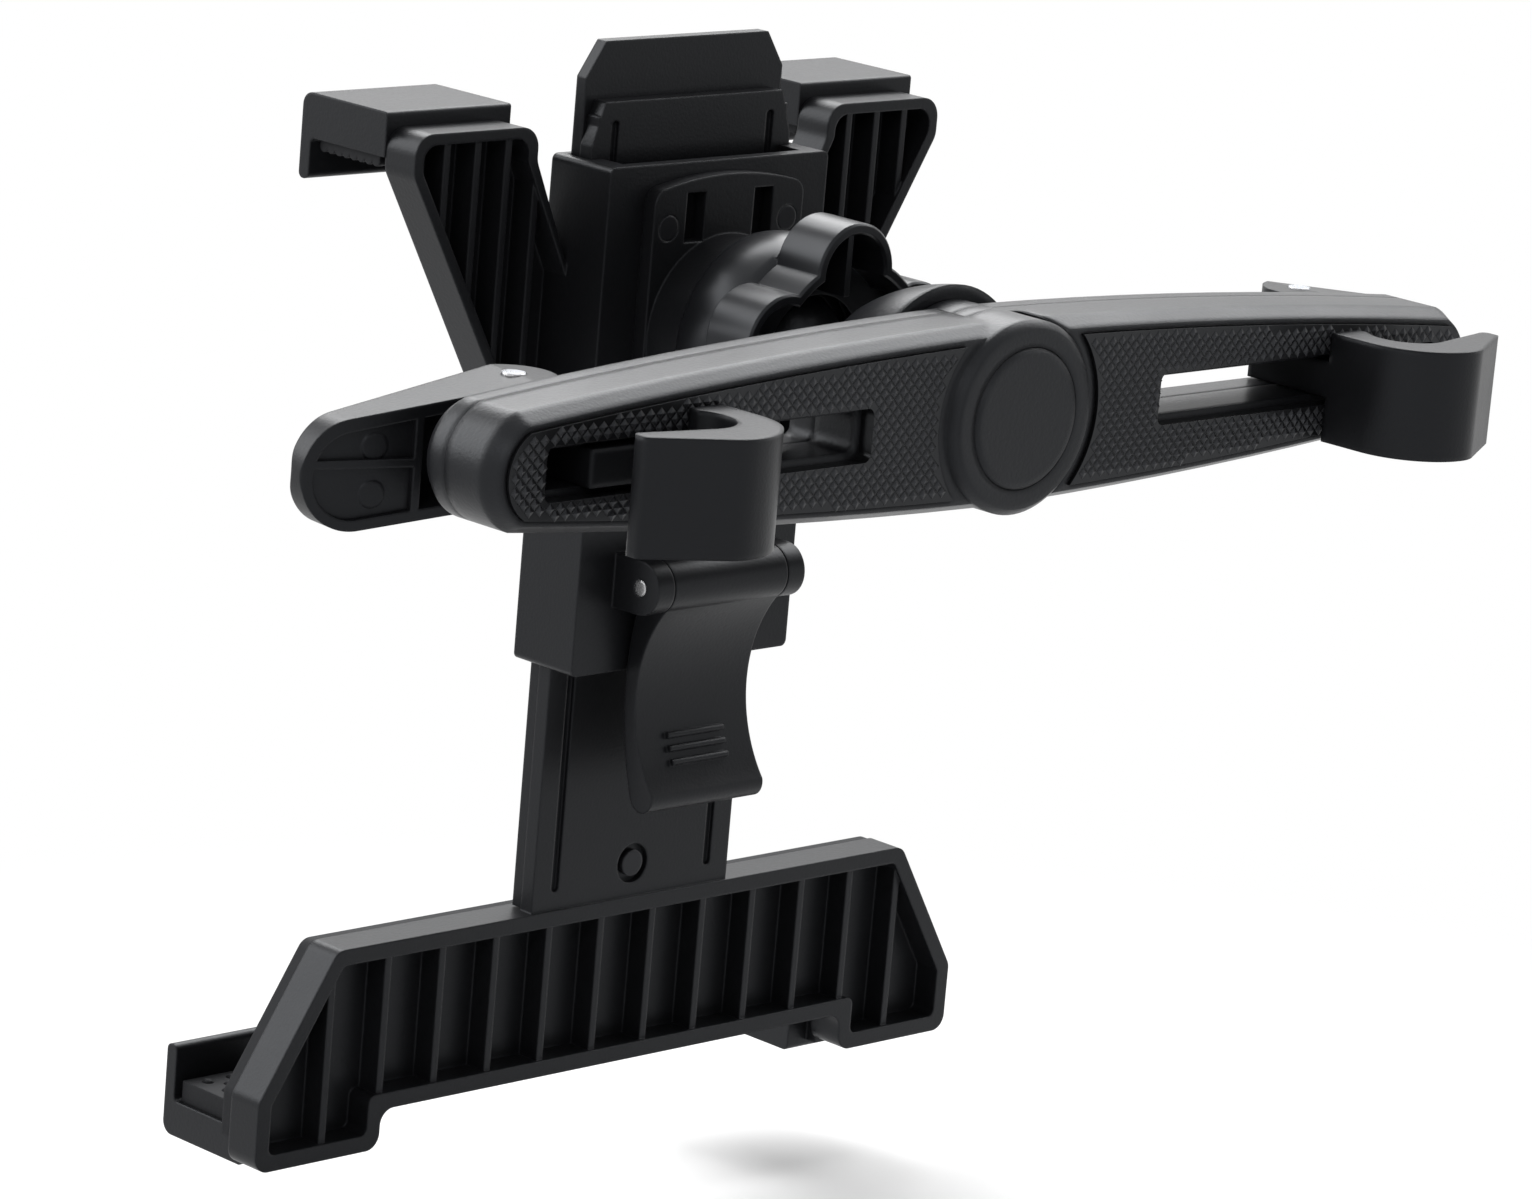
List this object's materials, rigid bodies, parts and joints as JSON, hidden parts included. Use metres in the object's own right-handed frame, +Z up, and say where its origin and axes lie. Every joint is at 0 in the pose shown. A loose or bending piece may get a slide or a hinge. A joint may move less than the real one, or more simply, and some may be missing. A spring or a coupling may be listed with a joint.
{
  "type": "tablet_holder",
  "caption": "Car headrest tablet holder with sliding post hooks on cam levers, a ball joint with a lobed hand nut and an extending clawed cradle, in black plastic.",
  "frame": {"origin": "on the clamp's centre line, in the plane of the two headrest posts' axes", "axes": "+Z up along the posts, +Y from the headrest towards the tablet, +X along the clamp arms to the right as seen from the headrest"},
  "size_m": [0.2774, 0.1406, 0.2019],
  "materials": {
    "black_abs": "fine-grained satin black ABS mouldings",
    "black_rubber": "matte black rubber inserts and pads",
    "steel": "plain steel pins and small screws"
  },
  "bodies": {
    "clamp": {"left_arm": "black_abs", "left_cover": "black_abs", "left_insert": "black_rubber", "centre_cap": "black_abs", "centre_screw": "steel"},
    "right_clamp": {"right_arm": "black_abs", "right_cover": "black_abs", "right_insert": "black_rubber"},
    "left_grip": {"left_hook": "black_abs", "left_pin": "steel"},
    "right_grip": {"right_hook": "black_abs", "right_pin": "steel"},
    "left_cam": {"left_lever": "black_abs"},
    "right_cam": {"right_lever": "black_abs"},
    "stem": {"ball_stem": "black_abs"},
    "seat": {"ball_seat": "black_abs"},
    "cradle": {"cradle_housing": "black_abs", "ball_plate": "black_abs", "plate_screws": "steel", "upper_claw_left": "black_abs", "upper_claw_right": "black_abs", "upper_pad_left": "black_rubber", "upper_pad_right": "black_rubber", "lock_pin": "steel"},
    "nut": {"clamp_nut": "black_abs"},
    "lower": {"lower_bracket": "black_abs", "blade_backing": "black_abs", "blade_screw": "steel", "bar_pad": "black_rubber", "lower_claw_left": "black_abs", "lower_claw_right": "black_abs", "lower_pad_left": "black_rubber", "lower_pad_right": "black_rubber"},
    "lock": {"lock_lever": "black_abs"}
  },
  "joints": [
    {"name": "right_arm_pivot", "type": "hinge", "parent": "clamp", "child": "right_clamp", "pos_m": [0, 0, 0], "axis": [0, 1, 0], "range_deg": [-20, 20]},
    {"name": "left_hook_slide", "type": "slide", "parent": "clamp", "child": "left_grip", "axis": [1, 0, 0], "range_m": [-0.008, 0.034]},
    {"name": "right_hook_slide", "type": "slide", "parent": "right_clamp", "child": "right_grip", "axis": [1, 0, 0], "range_m": [-0.042, 0]},
    {"name": "left_lever_swing", "type": "hinge", "parent": "left_grip", "child": "left_cam", "pos_m": [-0.094, 0.034, 0], "axis": [0, 0, 1], "range_deg": [-50, 0]},
    {"name": "right_lever_swing", "type": "hinge", "parent": "right_grip", "child": "right_cam", "pos_m": [0.102, 0.034, 0], "axis": [0, 0, 1], "range_deg": [0, 50]},
    {"name": "stem_turn", "type": "hinge", "parent": "clamp", "child": "stem", "pos_m": [0, 0, 0], "axis": [0, 1, 0], "continuous": true},
    {"name": "ball_tilt", "type": "hinge", "parent": "stem", "child": "seat", "pos_m": [0, 0.067, 0], "axis": [1, 0, 0], "range_deg": [-8, 8]},
    {"name": "ball_swivel", "type": "hinge", "parent": "seat", "child": "cradle", "pos_m": [0, 0.067, 0], "axis": [0, 0, 1], "range_deg": [-8, 8]},
    {"name": "nut_turn", "type": "hinge", "parent": "cradle", "child": "nut", "pos_m": [0, 0, 0], "axis": [0, 1, 0], "range_deg": [-180, 0]},
    {"name": "blade_slide", "type": "slide", "parent": "cradle", "child": "lower", "axis": [0, 0, 1], "range_m": [-0.008, 0.044]},
    {"name": "lock_lever_swing", "type": "hinge", "parent": "cradle", "child": "lock", "pos_m": [0, 0.0781, -0.0448], "axis": [1, 0, 0], "range_deg": [-60, 0]}
  ]
}
